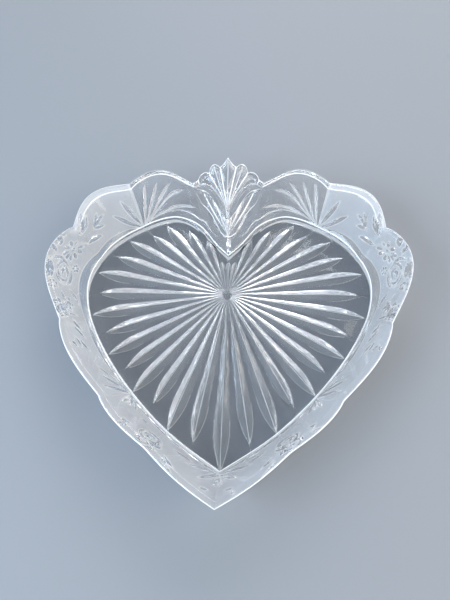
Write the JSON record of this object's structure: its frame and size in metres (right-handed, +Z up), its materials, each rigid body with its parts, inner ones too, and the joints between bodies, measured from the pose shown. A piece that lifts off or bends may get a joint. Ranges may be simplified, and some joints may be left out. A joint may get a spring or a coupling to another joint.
{
  "type": "heart-shaped glass dish",
  "caption": "Open heart-shaped trinket dish in pressed glass with a sunburst floor, flared scalloped wall, frosted border and a small crest at the notch.",
  "frame": {"origin": "centre of the bounding box, on the surface the dish stands on", "axes": "+Z up out of the open dish, +Y from the tip of the heart towards the notch and its crest, +X to the right lobe seen from above with the notch away from the viewer"},
  "size_m": [0.2012, 0.1878, 0.0403],
  "materials": {
    "pressed_glass": "clear polished pressed glass; the border of the wall is acid-frosted with clear leaves and flowers"
  },
  "bodies": {
    "root": {"dish": "pressed_glass"}
  },
  "joints": []
}
